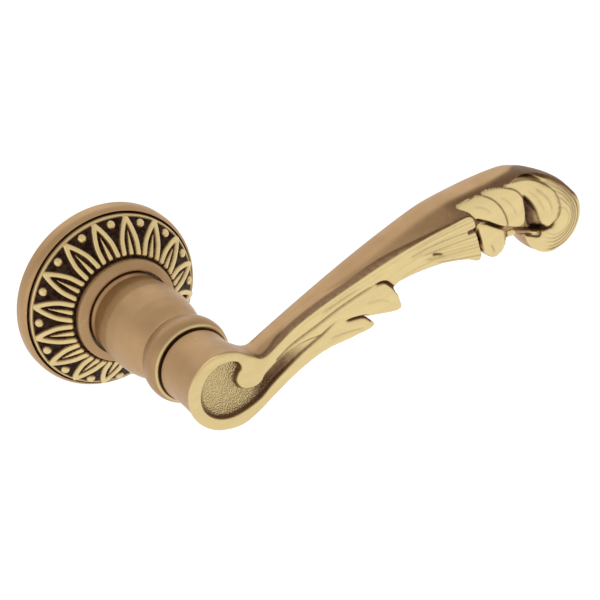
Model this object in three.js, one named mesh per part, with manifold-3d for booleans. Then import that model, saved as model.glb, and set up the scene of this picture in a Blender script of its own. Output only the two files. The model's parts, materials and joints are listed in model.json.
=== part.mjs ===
// Door lever handle on a round rose, in millimetres.
// The origin is where the spindle axis meets the door face. The lever points along +X,
// +Z is up and the handle stands out from the door along -Y. "u" below is the distance
// out from the door face, so y = -u everywhere.
import * as THREE from 'three';
import { mergeVertices } from 'three/addons/utils/BufferGeometryUtils.js';
import Module from 'manifold-3d';

const wasm = await Module();
wasm.setup();

// ---- driving dimensions ----------------------------------------------------------------
const ROSE_RADIUS = 25;          // outside radius of the rose cover
const ROSE_INNER_RADIUS = 23.7;  // inside radius of the cover's rim
const BOSS_TOP = 14.5;           // height of the smooth ring round the neck
const BORE_RADIUS = 11.45;       // hole in the cover that the neck passes through
const FIELD_INNER = [14.4, 11.3]; // carved field of the cover, inner edge (radius, u)
const FIELD_OUTER = [22.9, 5.4]; // carved field of the cover, outer edge (radius, u)
const LEAF_COUNT = 16;           // pointed leaves round the cover
const LEAF_PHASE = -2.2;         // angle of the first leaf from +X, degrees
const LEAF_LENGTH = 9.5;         // leaf length down the slope of the field
const LEAF_HALF_WIDTH = 2.45;    // half width of a leaf at its widest
const RIB_WIDTH = 1.15;          // width of the raised rib that outlines a leaf
const RIB_HEIGHT = 0.75;         // how far ribs stand above the field
const BEAD_DOT_RADIUS = 0.9;     // round dots between the leaf tips
const DOT_RING_RADIUS = 21.9;    // radius of the ring of dots

const BASE_RADIUS = 23.2;        // zinc base plate behind the cover
const BASE_THICKNESS = 3.9;
const POCKET_RADIUS = 11.3;      // pocket in the back of the base for the retaining ring
const POCKET_DEPTH = 2.6;

const SPINDLE_SIDE = 8;          // square spindle, across flats
const SPINDLE_BACK = -22;        // u of the end that enters the lock
const SPINDLE_FRONT = 33;        // u of the end inside the neck
const SPINDLE_STEP = -1;         // u where the slightly slimmer length inside the neck begins
const SPINDLE_RELIEF = 0.1;      // how far each flat of that length is set in
const SOCKET_SIDE = 8.4;         // square socket in the neck
const POST_SPACING = 38;         // distance between the two locating posts
const POST_RADIUS = 3.5;
const POST_DEPTH = 4.4;          // how far a post enters the door
const SCREW_RING = 18.6;         // ring radius of the two wood screws
const SCREW_DEPTH = 11.5;        // how far a wood screw enters the door

const STOP_RING = 14.3;          // ring radius of the two stop pins
const STOP_PIN_RADIUS = 1.2;
const TRAVEL = 45;               // lever travel in degrees
const EAR_HALF_ANGLE = 10;       // half the arc of the cam's ear, degrees
const EAR_REST_ANGLE = 112.5;    // where the ear stands with the lever at rest

const JOINT_U = 47.1;            // seam between the neck's bead and the lever's drum
const FRONT_U = 62;              // front face of the lever
const DRUM_RADIUS = 9.8;

const FACET_TOLERANCE = 0.02;    // facets flatter than this are merged

// ---- materials ---------------------------------------------------------------------------
function material(colour, roughness, metalness) {
  return new THREE.MeshStandardMaterial({ color: colour, roughness, metalness });
}

const BRASS = material(0xb2946c, 0.42, 1.0);
const TURNED_BRASS = material(0xae9069, 0.38, 1.0);
const STEEL = material(0x9a9ca0, 0.35, 1.0);
const SPRING_STEEL = material(0x6f7276, 0.4, 1.0);
const ZINC = material(0x8b8f94, 0.6, 0.9);
const NYLON = material(0xe6e2d6, 0.55, 0.0);

// ---- geometry helpers --------------------------------------------------------------------
const DEG = Math.PI / 180;

// Weld a three.js geometry, drop collapsed triangles and return it as a closed solid.
function solid(geometry) {
  const source = geometry.clone();
  source.deleteAttribute('normal');
  source.deleteAttribute('uv');
  const welded = mergeVertices(source, 1e-4);
  const position = welded.attributes.position;
  const index = welded.index.array;
  const triangles = [];
  let volume = 0;
  const a = new THREE.Vector3();
  const b = new THREE.Vector3();
  const c = new THREE.Vector3();
  for (let i = 0; i < index.length; i += 3) {
    const [p, q, r] = [index[i], index[i + 1], index[i + 2]];
    if (p === q || q === r || r === p) continue;
    triangles.push(p, q, r);
    a.fromBufferAttribute(position, p);
    b.fromBufferAttribute(position, q);
    c.fromBufferAttribute(position, r);
    volume += a.dot(b.cross(c));
  }
  if (volume < 0) triangles.reverse();
  return new wasm.Manifold(new wasm.Mesh({
    numProp: 3,
    vertProperties: new Float32Array(position.array),
    triVerts: new Uint32Array(triangles),
  }));
}

function geometryOf(manifold) {
  const mesh = manifold.getMesh();
  const geometry = new THREE.BufferGeometry();
  geometry.setAttribute('position', new THREE.BufferAttribute(mesh.vertProperties, 3));
  geometry.setIndex(new THREE.BufferAttribute(mesh.triVerts, 1));
  geometry.computeVertexNormals();
  return geometry;
}

// Turned solid about the spindle axis; the profile is a list of [radius, u].
function turned(profile, segments) {
  const points = profile.map(([r, u]) => new THREE.Vector2(r, -u));
  return solid(new THREE.LatheGeometry(points, segments));
}

// Turned ring: the closed profile runs round a rectangle.
function ring(inner, outer, low, high, segments) {
  return turned([[inner, low], [outer, low], [outer, high], [inner, high], [inner, low]], segments);
}

// Plain round bar along u.
function bar(radius, low, high, segments) {
  return turned([[0, low], [radius, low], [radius, high], [0, high]], segments);
}

function box(x0, x1, u0, u1, z0, z1) {
  const geometry = new THREE.BoxGeometry(x1 - x0, u1 - u0, z1 - z0);
  geometry.translate((x0 + x1) / 2, -(u0 + u1) / 2, (z0 + z1) / 2);
  return solid(geometry);
}

// Smooth closed outline through [x, z] points.
function closedOutline(points, perSpan) {
  const curve = new THREE.CatmullRomCurve3(
    points.map(([x, z]) => new THREE.Vector3(x, z, 0)), true, 'catmullrom', 0.5);
  return curve.getPoints(points.length * perSpan).slice(0, -1).map((p) => new THREE.Vector2(p.x, p.y));
}

// Plate cut to an outline in the XZ plane, from u = low to u = high, with a bevelled front.
function plate(outline, low, high, bevel) {
  const shape = new THREE.Shape(outline);
  const geometry = new THREE.ExtrudeGeometry(shape, {
    depth: high - low - 2 * bevel,
    bevelEnabled: bevel > 0,
    bevelThickness: bevel,
    bevelSize: bevel,
    bevelOffset: -bevel,
    bevelSegments: 1,
    curveSegments: 8,
  });
  geometry.translate(0, 0, low + bevel);
  geometry.rotateX(Math.PI / 2);
  return solid(geometry);
}

function moved(manifold, x, u, z) {
  return manifold.translate([x, -u, z]);
}

function polar(radius, degrees) {
  return [radius * Math.cos(degrees * DEG), radius * Math.sin(degrees * DEG)];
}

// Sector of a flat ring between two angles in the XZ plane.
function sector(inner, outer, from, to, low, high, steps) {
  const outline = [];
  for (let i = 0; i <= steps; i += 1) {
    outline.push(new THREE.Vector2(...polar(outer, from + ((to - from) * i) / steps)));
  }
  for (let i = steps; i >= 0; i -= 1) {
    outline.push(new THREE.Vector2(...polar(inner, from + ((to - from) * i) / steps)));
  }
  return plate(outline, low, high, 0);
}

const group = new THREE.Group();
group.name = 'door_lever_handle';

function add(name, manifold, look) {
  const mesh = new THREE.Mesh(geometryOf(manifold.simplify(FACET_TOLERANCE)), look);
  mesh.name = name;
  group.add(mesh);
}

// ---- rose cover ----------------------------------------------------------------------------
const COVER_PROFILE = [
  [ROSE_INNER_RADIUS, 0], [ROSE_RADIUS - 0.15, 0], [ROSE_RADIUS, 0.3], [ROSE_RADIUS, 2.3],
  [24.8, 3.3], [24.4, 4.05], [23.9, 4.4], [23.6, 4.1], [23.45, 4.9], [23.2, 5.5], FIELD_OUTER,
  FIELD_INNER, [14.1, 11.5], [14.0, 12.9], [13.2, 13.75], [12.3, 14.3], [11.8, BOSS_TOP],
  [BORE_RADIUS, 14.1], [BORE_RADIUS, 13.3], [12.6, 13.3], [12.9, 10.9], [21.9, 4.4],
  [ROSE_INNER_RADIUS, 2.6], [ROSE_INNER_RADIUS, 0],
];

// Places a shape drawn in (across, along the slope) on the carved field at a given angle.
function fieldMatrix(angle) {
  const [dr, du] = [FIELD_OUTER[0] - FIELD_INNER[0], FIELD_OUTER[1] - FIELD_INNER[1]];
  const slope = Math.atan2(-du, dr);
  const [ex, ez] = polar(1, angle);
  const across = new THREE.Vector3(-ez, 0, ex);
  const along = new THREE.Vector3(ex * Math.cos(slope), Math.sin(slope), ez * Math.cos(slope));
  const out = new THREE.Vector3(ex * Math.sin(slope), -Math.cos(slope), ez * Math.sin(slope));
  const matrix = new THREE.Matrix4().makeBasis(across, along, out);
  matrix.setPosition(ex * FIELD_INNER[0], -FIELD_INNER[1], ez * FIELD_INNER[0]);
  return matrix;
}

function leafHalfWidth(t) {
  const swell = 0.78 + 0.22 * Math.sin(Math.min(1, t / 0.55) * Math.PI * 0.5);
  const taper = t < 0.45 ? 1 : Math.sqrt(Math.max(0, 1 - ((t - 0.45) / 0.55) ** 1.7));
  return LEAF_HALF_WIDTH * swell * taper;
}

function leafSolids(angle) {
  const ribSteps = 4;
  const legStart = 0.5;
  const outer = [];
  const inner = [];
  for (let i = 0; i <= ribSteps; i += 1) {
    const t = i / ribSteps;
    outer.push([leafHalfWidth(t), legStart + t * LEAF_LENGTH]);
    const innerHalf = Math.max(0, leafHalfWidth(t * 0.93) - RIB_WIDTH);
    inner.push([innerHalf, legStart + t * 0.86 * LEAF_LENGTH]);
  }
  const arch = [
    ...outer.map(([x, y]) => [x, y]),
    ...outer.slice(0, -1).reverse().map(([x, y]) => [-x, y]),
    ...inner.map(([x, y]) => [-x, y]),
    ...inner.slice(0, -1).reverse().map(([x, y]) => [x, y]),
  ];
  const spike = [[0.5, 0.5], [0.55, 2.2], [0.12, 5.6], [-0.12, 5.6], [-0.55, 2.2], [-0.5, 0.5]];
  const matrix = fieldMatrix(angle);
  return [arch, spike].map((outline) => {
    const shape = new THREE.Shape(outline.map(([x, y]) => new THREE.Vector2(x, y)));
    const geometry = new THREE.ExtrudeGeometry(shape, { depth: RIB_HEIGHT + 0.6, bevelEnabled: false });
    geometry.translate(0, 0, -0.6);
    geometry.applyMatrix4(matrix);
    return solid(geometry);
  });
}

function dotSolid(angle) {
  const slope = (FIELD_OUTER[1] - FIELD_INNER[1]) / (FIELD_OUTER[0] - FIELD_INNER[0]);
  const u = FIELD_INNER[1] + slope * (DOT_RING_RADIUS - FIELD_INNER[0]) + 0.15;
  const [x, z] = polar(DOT_RING_RADIUS, angle);
  const dome = turned([
    [0, -0.8], [BEAD_DOT_RADIUS, -0.8], [BEAD_DOT_RADIUS, 0.1], [BEAD_DOT_RADIUS * 0.6, 0.75], [0, 0.95],
  ], 8);
  return moved(dome, x, u, z);
}

function roseCover() {
  const pieces = [turned(COVER_PROFILE, 44)];
  for (let i = 0; i < LEAF_COUNT; i += 1) {
    const angle = LEAF_PHASE + (360 / LEAF_COUNT) * i;
    pieces.push(...leafSolids(angle));
    pieces.push(dotSolid(angle + 180 / LEAF_COUNT));
  }
  return wasm.Manifold.union(pieces);
}

add('rose_cover', roseCover(), BRASS);
add('bore_liner', ring(11.1, 12.25, 11.3, 13.0, 28), NYLON);

// ---- base plate and what is fixed to it --------------------------------------------------------
const REST_PIN_ANGLE = EAR_REST_ANGLE + EAR_HALF_ANGLE + 5.6;
const TRAVEL_PIN_ANGLE = EAR_REST_ANGLE - TRAVEL - EAR_HALF_ANGLE - 5.6;
const ANCHOR_ANGLE = 250;
const SCREW_ANGLES = [45, 225];

function roseBase() {
  const profile = [
    [9.4, POCKET_DEPTH], [POCKET_RADIUS, POCKET_DEPTH], [POCKET_RADIUS, 0], [BASE_RADIUS, 0],
    [BASE_RADIUS, 1.0], [22.0, 1.0], [22.0, 2.4], [BASE_RADIUS - 0.6, 2.4],
    [BASE_RADIUS - 1.6, BASE_THICKNESS], [9.4, BASE_THICKNESS], [9.4, POCKET_DEPTH],
  ];
  let base = turned(profile, 36);
  for (const side of [-1, 1]) {
    base = base.subtract(moved(bar(2.5, -1, BASE_THICKNESS + 1, 20), (side * POST_SPACING) / 2, 0, 0));
  }
  for (const angle of SCREW_ANGLES) {
    const [x, z] = polar(SCREW_RING, angle);
    const countersink = turned([[0, -1], [2.0, -1], [2.0, 1.5], [3.3, 3.0], [3.3, 5], [0, 5]], 20);
    base = base.subtract(moved(countersink, x, 0, z));
  }
  for (const angle of [REST_PIN_ANGLE, TRAVEL_PIN_ANGLE, ANCHOR_ANGLE]) {
    const [x, z] = polar(STOP_RING, angle);
    base = base.subtract(moved(bar(STOP_PIN_RADIUS + 0.2, 0.5, BASE_THICKNESS + 1, 16), x, 0, z));
  }
  return base;
}

add('rose_base', roseBase(), ZINC);

const snapRing = ring(22.25, 23.42, 1.25, 2.15, 32);
add('cover_snap_ring', snapRing.subtract(box(-2.2, 2.2, 0, 4, -30, -15)), SPRING_STEEL);

const bushProfile = [
  [7.25, 1.85], [10.8, 1.85], [10.8, 2.35], [9.1, 2.35], [9.1, 3.85], [7.25, 3.85], [7.25, 1.85],
];
add('guide_bush', turned(bushProfile, 24), NYLON);

function locatingPost() {
  const threadRadius = 1.65;
  return turned([
    [0, -0.5], [threadRadius, -0.5], [threadRadius, -POST_DEPTH], [POST_RADIUS - 0.4, -POST_DEPTH],
    [POST_RADIUS, -POST_DEPTH + 0.4], [POST_RADIUS, -0.05], [2.2, -0.05], [2.2, 3.5], [0, 3.5],
  ], 20);
}

add('locating_post_lever_side', moved(locatingPost(), POST_SPACING / 2, 0, 0), ZINC);
add('locating_post_far_side', moved(locatingPost(), -POST_SPACING / 2, 0, 0), ZINC);

function woodScrew() {
  const profile = [[0, -SCREW_DEPTH], [0.5, -SCREW_DEPTH + 1.2]];
  const pitch = 2.0;
  for (let u = -SCREW_DEPTH + 1.8; u < -1.6; u += pitch) {
    profile.push([1.2, u], [1.75, u + pitch * 0.45]);
  }
  profile.push([1.25, -1.2], [1.25, 1.6], [2.95, 3.3], [2.95, 3.6], [0, 3.6]);
  let screw = turned(profile, 12);
  screw = screw.subtract(box(-1.7, 1.7, 2.5, 4, -0.4, 0.4));
  return screw.subtract(box(-0.4, 0.4, 2.5, 4, -1.7, 1.7));
}

const SCREW_NAMES = ['wood_screw_upper', 'wood_screw_lower'];
SCREW_ANGLES.forEach((angle, i) => {
  const [x, z] = polar(SCREW_RING, angle);
  add(SCREW_NAMES[i], moved(woodScrew(), x, 0, z), STEEL);
});

function pinAt(angle, top) {
  const [x, z] = polar(STOP_RING, angle);
  const edge = 0.25;
  const pin = turned([
    [0, 0.8], [STOP_PIN_RADIUS, 0.8], [STOP_PIN_RADIUS, top - edge], [STOP_PIN_RADIUS - edge, top], [0, top],
  ], 20);
  return moved(pin, x, 0, z);
}

add('stop_pin_rest', pinAt(REST_PIN_ANGLE, 6.4), STEEL);
add('stop_pin_travel', pinAt(TRAVEL_PIN_ANGLE, 6.4), STEEL);
add('spring_anchor_pin', pinAt(ANCHOR_ANGLE, 7.8), STEEL);

// ---- return spring ----------------------------------------------------------------------------
const SPRING_RADIUS = 10.2;
const WIRE_RADIUS = 0.6;
const SPRING_TURNS = 2.25;
const SPRING_START = 6.4;
const SPRING_PITCH = 1.4;
const COIL_START_ANGLE = ANCHOR_ANGLE - 3;
const COIL_END_ANGLE = (COIL_START_ANGLE - 360 * SPRING_TURNS + 720) % 360;
const FIXED_LEG_ANGLE = ANCHOR_ANGLE + 8.6;
const MOVING_LEG_ANGLE = COIL_END_ANGLE - 8;

// Torsion spring round the neck's shank: one leg bears on the anchor pin, the other on the cam's tab.
function returnSpring() {
  const coilSteps = 40;
  const legRadii = [15.2, 12.9];
  const points = legRadii.map((r) => {
    const [x, z] = polar(r, FIXED_LEG_ANGLE);
    return new THREE.Vector3(x, -SPRING_START, z);
  });
  for (let i = 0; i <= coilSteps; i += 1) {
    const turns = (SPRING_TURNS * i) / coilSteps;
    const [x, z] = polar(SPRING_RADIUS, COIL_START_ANGLE - 360 * turns);
    points.push(new THREE.Vector3(x, -(SPRING_START + SPRING_PITCH * turns), z));
  }
  const [legX, legZ] = polar(12.4, MOVING_LEG_ANGLE);
  points.push(new THREE.Vector3(legX, -(SPRING_START + SPRING_PITCH * SPRING_TURNS), legZ));
  const path = new THREE.CatmullRomCurve3(points, false, 'catmullrom', 0.5);
  const section = new THREE.Shape();
  section.absarc(0, 0, WIRE_RADIUS, 0, Math.PI * 2, false);
  const geometry = new THREE.ExtrudeGeometry(section, {
    steps: 60, extrudePath: path, bevelEnabled: false, curveSegments: 2,
  });
  return solid(geometry);
}

add('return_spring', returnSpring(), SPRING_STEEL);

// ---- cam that carries the spring and the stops -----------------------------------------------------
const CAM_LOW = 4.2;
const CAM_HIGH = 5.5;
const FLAT_HALF = 7.1;
const FLATS_TOP = 5.7;
const DRIVE_RADIUS = 7.8;

function camPlate() {
  const disc = ring(0.5, 12.0, CAM_LOW, CAM_HIGH, 36);
  const ear = sector(11, 15.3, EAR_REST_ANGLE - EAR_HALF_ANGLE, EAR_REST_ANGLE + EAR_HALF_ANGLE,
    CAM_LOW, CAM_HIGH, 5);
  const [tabFrom, tabTo] = [COIL_END_ANGLE - 1, COIL_END_ANGLE + 11];
  const tab = sector(11.4, 12.6, tabFrom, tabTo, CAM_LOW, 10.1, 3);
  const hole = bar(DRIVE_RADIUS + 0.2, 3, 7, 32).intersect(
    box(-9, 9, 3, 7, -FLAT_HALF - 0.2, FLAT_HALF + 0.2));
  return wasm.Manifold.union([disc, ear, tab]).subtract(hole);
}

add('cam_plate', camPlate(), STEEL);

// ---- neck --------------------------------------------------------------------------------------------
const NECK_PROFILE = [
  [0, 0.5], [7.0, 0.5], [7.0, 0.75], [6.55, 0.75], [6.55, 1.6], [7.0, 1.6], [7.0, 4.0],
  [DRIVE_RADIUS, 4.0], [DRIVE_RADIUS, 5.8], [8.8, 5.8], [8.8, 11.2], [10.75, 11.2],
  [10.75, 14.2], [10.7, 15.2], [11.0, 17.4], [11.5, 20.2], [11.7, 23.5], [11.6, 27], [11.1, 30.6],
  [10.3, 33.6], [9.3, 36.0], [8.85, 37.5], [9.0, 38.6], [9.9, 39.1], [10.75, 40.6], [11.2, 42.6],
  [11.25, 44.2], [10.9, 45.7], [10.2, 46.6], [9.4, 46.8], [5.9, 46.8], [5.9, 43.6], [0, 43.6],
];
const SET_SCREW_U = 26;
const HEAD_SEAT_U = 38.6;
const DOWEL_OFFSET = 7.6;

function neck() {
  const half = SOCKET_SIDE / 2;
  const body = turned(NECK_PROFILE, 30);
  const cuts = wasm.Manifold.union([
    box(-12, 12, 0, FLATS_TOP, FLAT_HALF, 12),
    box(-12, 12, 0, FLATS_TOP, -12, -FLAT_HALF),
    box(-half, half, 0, SPINDLE_FRONT + 0.6, -half, half),
    bar(4.15, SPINDLE_FRONT, HEAD_SEAT_U, 28),
    bar(2.75, HEAD_SEAT_U - 1, 48, 24),
    moved(bar(1.2, 42.8, 48, 16), -DOWEL_OFFSET, 0, 0),
    setScrewHole(),
  ]);
  return body.subtract(cuts);
}

function setScrewHole() {
  const hole = new THREE.CylinderGeometry(2.75, 2.75, 12, 20);
  hole.rotateX(Math.PI / 2);
  hole.translate(0, -SET_SCREW_U, -9);
  return solid(hole);
}

add('lever_neck', neck(), TURNED_BRASS);

function setScrew() {
  const screw = new THREE.CylinderGeometry(2.45, 2.45, 6.2, 20);
  screw.rotateX(Math.PI / 2);
  screw.translate(0, -SET_SCREW_U, -7.5);
  const hex = new THREE.CylinderGeometry(1.5, 1.5, 3, 6);
  hex.rotateX(Math.PI / 2);
  hex.translate(0, -SET_SCREW_U, -9.8);
  return solid(screw).subtract(solid(hex));
}

add('set_screw', setScrew(), STEEL);

function spindleLength(half, low, high) {
  const chamfer = half - 0.5;
  const corners = [[half, chamfer], [chamfer, half]];
  const shape = [
    ...corners, ...corners.map(([x, z]) => [-z, x]), ...corners.map(([x, z]) => [-x, -z]),
    ...corners.map(([x, z]) => [z, -x]),
  ];
  return plate(shape.map(([x, z]) => new THREE.Vector2(x, z)), low, high, 0);
}

add('spindle', wasm.Manifold.union([
  spindleLength(SPINDLE_SIDE / 2, SPINDLE_BACK, SPINDLE_STEP),
  spindleLength(SPINDLE_SIDE / 2 - SPINDLE_RELIEF, SPINDLE_STEP, SPINDLE_FRONT),
]), STEEL);

add('thrust_washer', ring(9.05, 10.6, 10.45, 10.95, 28), STEEL);

const retainer = ring(6.8, 9.4, 0.85, 1.5, 28);
const retainerGap = box(-1.6, 1.6, 0, 3, -12, -4);
add('retaining_ring', retainer.subtract(retainerGap), SPRING_STEEL);

// ---- screw and dowel that join the neck and the lever ------------------------------------------------
const headTop = HEAD_SEAT_U - 0.95;
function jointScrew() {
  const head = 3.3;
  const profile = [
    [0, headTop - head], [3.6, headTop - head], [3.85, headTop - head + 0.3], [3.85, headTop],
    [2.4, headTop], [2.4, 55.6], [1.9, 56.2], [0, 56.2],
  ];
  const hex = bar(2.2, headTop - head - 1, headTop - 1.3, 6);
  return turned(profile, 24).subtract(hex);
}

add('joint_screw', jointScrew(), STEEL);
add('lock_washer', ring(2.7, 3.85, headTop + 0.15, headTop + 0.7, 24).subtract(box(-0.4, 0.4, 36, 40, 1, 5)),
  SPRING_STEEL);
add('joint_dowel', moved(bar(0.95, 43.1, 51.4, 18), -DOWEL_OFFSET, 0, 0), STEEL);

// ---- lever arm -----------------------------------------------------------------------------------------
// Stations of the smooth bar behind the carving: [x, middle z, half height, depth behind the front].
const ARM_STATIONS = [
  [3, -1.6, 5.6, 8.5], [10, -2.0, 5.6, 8.8], [18, -0.4, 5.7, 9.4], [28, 1.5, 5.8, 10.4],
  [38, 3.4, 5.7, 11.4], [48, 4.8, 5.8, 12.4], [58, 6.0, 6.2, 13.0], [68, 7.0, 6.8, 13.2],
  [77, 6.5, 7.4, 13.2], [85, 5.2, 8.2, 13.0], [91, 3.7, 8.9, 12.8], [96, 1.0, 9.3, 12.6],
  [100.5, -1.4, 9.1, 12.2], [104.5, -3.2, 7.4, 11.4], [107.0, -4.0, 4.0, 10.4], [108.4, -4.2, 1.0, 8.0],
];

// Section through the bar: a flattened front and a rounder back.
function armSection(station, count) {
  const [x, middle, half, depth] = station;
  const points = [];
  for (let i = 0; i < count; i += 1) {
    const t = (2 * Math.PI * i) / count;
    const [c, s] = [Math.cos(t), Math.sin(t)];
    const power = c > 0 ? 0.5 : 0.84;
    const out = Math.sign(c) * Math.abs(c) ** power;
    const up = Math.sign(s) * Math.abs(s) ** 0.84;
    points.push([x, FRONT_U - 0.4 - depth / 2 + (out * depth) / 2, middle + up * half]);
  }
  return points;
}

function loft(sections) {
  const count = sections[0].length;
  const vertices = [];
  const index = [];
  sections.forEach((section) => section.forEach(([x, u, z]) => vertices.push(x, -u, z)));
  for (let j = 0; j + 1 < sections.length; j += 1) {
    for (let i = 0; i < count; i += 1) {
      const next = (i + 1) % count;
      const [a, b, c, d] = [j * count + i, j * count + next, (j + 1) * count + next, (j + 1) * count + i];
      index.push(a, b, c, a, c, d);
    }
  }
  for (const [start, flip] of [[0, true], [(sections.length - 1) * count, false]]) {
    for (let i = 1; i + 1 < count; i += 1) {
      index.push(...(flip ? [start, start + i + 1, start + i] : [start, start + i, start + i + 1]));
    }
  }
  const geometry = new THREE.BufferGeometry();
  geometry.setAttribute('position', new THREE.Float32BufferAttribute(vertices, 3));
  geometry.setIndex(index);
  return solid(geometry);
}

function smoothStations(stations, perSpan) {
  const curve = new THREE.CatmullRomCurve3(stations.map(([x, m]) => new THREE.Vector3(x, m, 0)));
  const sizes = new THREE.CatmullRomCurve3(stations.map(([, , h, d]) => new THREE.Vector3(h, d, 0)));
  const count = (stations.length - 1) * perSpan;
  return Array.from({ length: count + 1 }, (unused, i) => {
    const place = curve.getPoint(i / count);
    const size = sizes.getPoint(i / count);
    return [place.x, place.y, size.x, size.y];
  });
}

// Carved front: the strip that leaves the volute and ends in three leaf tips.
const STRIP = [
  [0, 9.6], [-4.4, 8.6], [-8.4, 4.9], [-9.8, 0], [-8.7, -5.2], [-4.8, -9.6], [1, -11.8], [6, -11.2], [12, -8.9],
  [20, -6.1], [28, -4.6], [36, -5.1], [42.5, -5.1], [41.9, -2.8], [40.6, -1.3], [44, -2.5], [50.6, -4.6],
  [51.3, -2], [50.9, 2.2], [54, 2.7], [60, 2.1], [66, 0.8], [72, -1.5], [76, -3.8], [77.1, -1.0],
  [77, 4], [76, 9.3], [70, 10.1], [60, 10.4], [50, 10.0], [40, 9.0], [30, 7.8], [22, 6.2], [17, 4.4],
  [12.4, 2.8], [9.6, 4.0], [5.2, 7.6],
];
// Sunk field of the volute with the channel that runs on along the arm.
const VOLUTE_FIELD = [
  [0.4, 7.1], [-4, 5.4], [-6.6, 1.2], [-6.3, -3.4], [-3.2, -7.0], [1.6, -8.4], [7.8, -7.6], [12, -5.6],
  [16, -4.0], [22, -1.8], [28.5, 0.2], [22, 1.2], [16, 0.3], [11.2, -1.6], [9.6, -3.0], [7.2, -3.3],
  [4.4, -2.0], [3.4, 0.6], [4.6, 2.6], [5.6, 3.4], [4.6, 5.8],
];
// Overlapping lobes at the end of the arm, nearest the neck first; each starts and ends at a u.
const LOBES = [
  {
    low: 55,
    high: 62.2,
    outline: [
      [77.2, -0.6], [78.8, -4.2], [81.4, -5.8], [84.3, -4.4], [85.4, -0.6], [84.2, 2], [80.4, 5.0],
      [77.6, 5.6],
    ],
  },
  {
    low: 59,
    high: 62.6,
    outline: [
      [73.4, 12.9], [77.6, 13.0], [81.0, 12.4], [84, 9.3], [85.7, 4.6], [85.4, 1.2], [81.4, 4.3],
      [77.6, 7.5], [75.6, 10.6],
    ],
  },
  {
    low: 59,
    high: 63.2,
    outline: [
      [81.4, 12.8], [86.2, 12.0], [90.2, 9.6], [91.9, 6.0], [91.7, 1.8], [90.2, -0.7], [86.6, 0.7],
      [85.6, 5], [84, 9.6],
    ],
  },
  {
    low: 59,
    high: 63.6,
    outline: [
      [87.8, 11.5], [93.4, 10.6], [98.2, 7.6], [101.3, 3.6], [101.6, -2], [98.4, -4.9], [95.9, -3.3],
      [94.6, 2], [91.4, 8.2],
    ],
  },
];
const SCROLL_CENTRE = [99.9, -4.3];
const SCROLL_RADIUS = 8.9;

function scrollEnd() {
  const [x, z] = SCROLL_CENTRE;
  const body = turned([
    [0, 50.6], [5.6, 50.6], [7.6, 51.8], [SCROLL_RADIUS, 54.4], [SCROLL_RADIUS, 59.4], [7.9, 61.6], [6.6, 62.6],
    [5.9, 62.2], [5.2, 62.9], [4.2, 63.2], [0, 63.4],
  ], 40);
  return moved(body, x, 0, z);
}

function leverArm() {
  const drum = turned([
    [0, 44.0], [5.6, 44.0], [5.6, JOINT_U], [9.2, JOINT_U], [9.4, 47.5], [9.2, 51.5], [9.3, 56],
    [DRUM_RADIUS - 0.1, 60.2], [DRUM_RADIUS, 61.2], [DRUM_RADIUS - 0.7, FRONT_U], [0, FRONT_U],
  ], 36);
  const sections = smoothStations(ARM_STATIONS, 2).map((station) => armSection(station, 16));
  const pieces = [
    drum,
    loft(sections),
    plate(closedOutline(STRIP, 2), 57.5, FRONT_U + 0.5, 0.5),
    scrollEnd(),
    ...LOBES.map(({ outline, low, high }) => plate(closedOutline(outline, 2), low, high, 0.45)),
  ];
  const cuts = [
    plate(closedOutline(VOLUTE_FIELD, 2), FRONT_U - 1.1, FRONT_U + 3, 0),
    bar(2.75, 40, 56.8, 24),
    moved(bar(1.2, 46, 51.8, 16), -DOWEL_OFFSET, 0, 0),
  ];
  return wasm.Manifold.union(pieces).subtract(wasm.Manifold.union(cuts));
}

add('lever_arm', leverArm(), BRASS);

export default group;
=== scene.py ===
"""Looks of an ornate door lever handle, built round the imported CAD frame.

Lengths in the shape code are in millimetres. "u" is the distance out from the door face,
so a point (x, u, z) lies at (x, -u, z) in the row frame.
"""

import json
import math

import bpy
import numpy as np
from mathutils import Matrix, Vector


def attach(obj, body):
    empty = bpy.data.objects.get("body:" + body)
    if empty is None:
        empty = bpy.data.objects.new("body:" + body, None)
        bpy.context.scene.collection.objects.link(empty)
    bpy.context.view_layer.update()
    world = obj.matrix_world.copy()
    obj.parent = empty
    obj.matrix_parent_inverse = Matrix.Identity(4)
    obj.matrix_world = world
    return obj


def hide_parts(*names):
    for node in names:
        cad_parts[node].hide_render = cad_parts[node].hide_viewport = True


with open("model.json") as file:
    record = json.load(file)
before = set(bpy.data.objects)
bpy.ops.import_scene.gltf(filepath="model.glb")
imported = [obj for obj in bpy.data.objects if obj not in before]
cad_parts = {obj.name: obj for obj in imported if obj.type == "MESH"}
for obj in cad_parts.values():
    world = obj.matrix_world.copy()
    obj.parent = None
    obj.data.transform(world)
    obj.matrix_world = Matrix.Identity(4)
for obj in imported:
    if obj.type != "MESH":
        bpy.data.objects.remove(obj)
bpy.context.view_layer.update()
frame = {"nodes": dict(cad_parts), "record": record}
MM = 0.001
# grid step of the carved arm in millimetres
STEP = 0.2

# ---- camera, light and floor ---------------------------------------------------------------
CAMERA_TARGET = Vector((0.0387, -0.0325, -0.0091))
CAMERA_DISTANCE = 0.565
CAMERA_AZIMUTH = -25.0
CAMERA_ELEVATION = 33.6
CAMERA_ROLL = -14.5
CAMERA_LENS = 132.0

# strength of the surroundings: walls up to one height, the ceiling from another
WALL_LIGHT = 1.0
CEILING_LIGHT = 0.78
WALL_TOP = 0.15
CEILING_FROM = 0.9
WORLD_COLOUR = (1.0, 0.99, 0.975, 1)
LIGHT_SIZE = (2.4, 1.6)
LIGHT_DISTANCE = 2.2
SIDE_LIGHT_POWER = 3.5
BACK_LIGHT_POWER = 5
FLOOR_GLOW = 0.22
FLOOR_LEVEL = -0.45
FLOOR_HALF = 6


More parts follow.
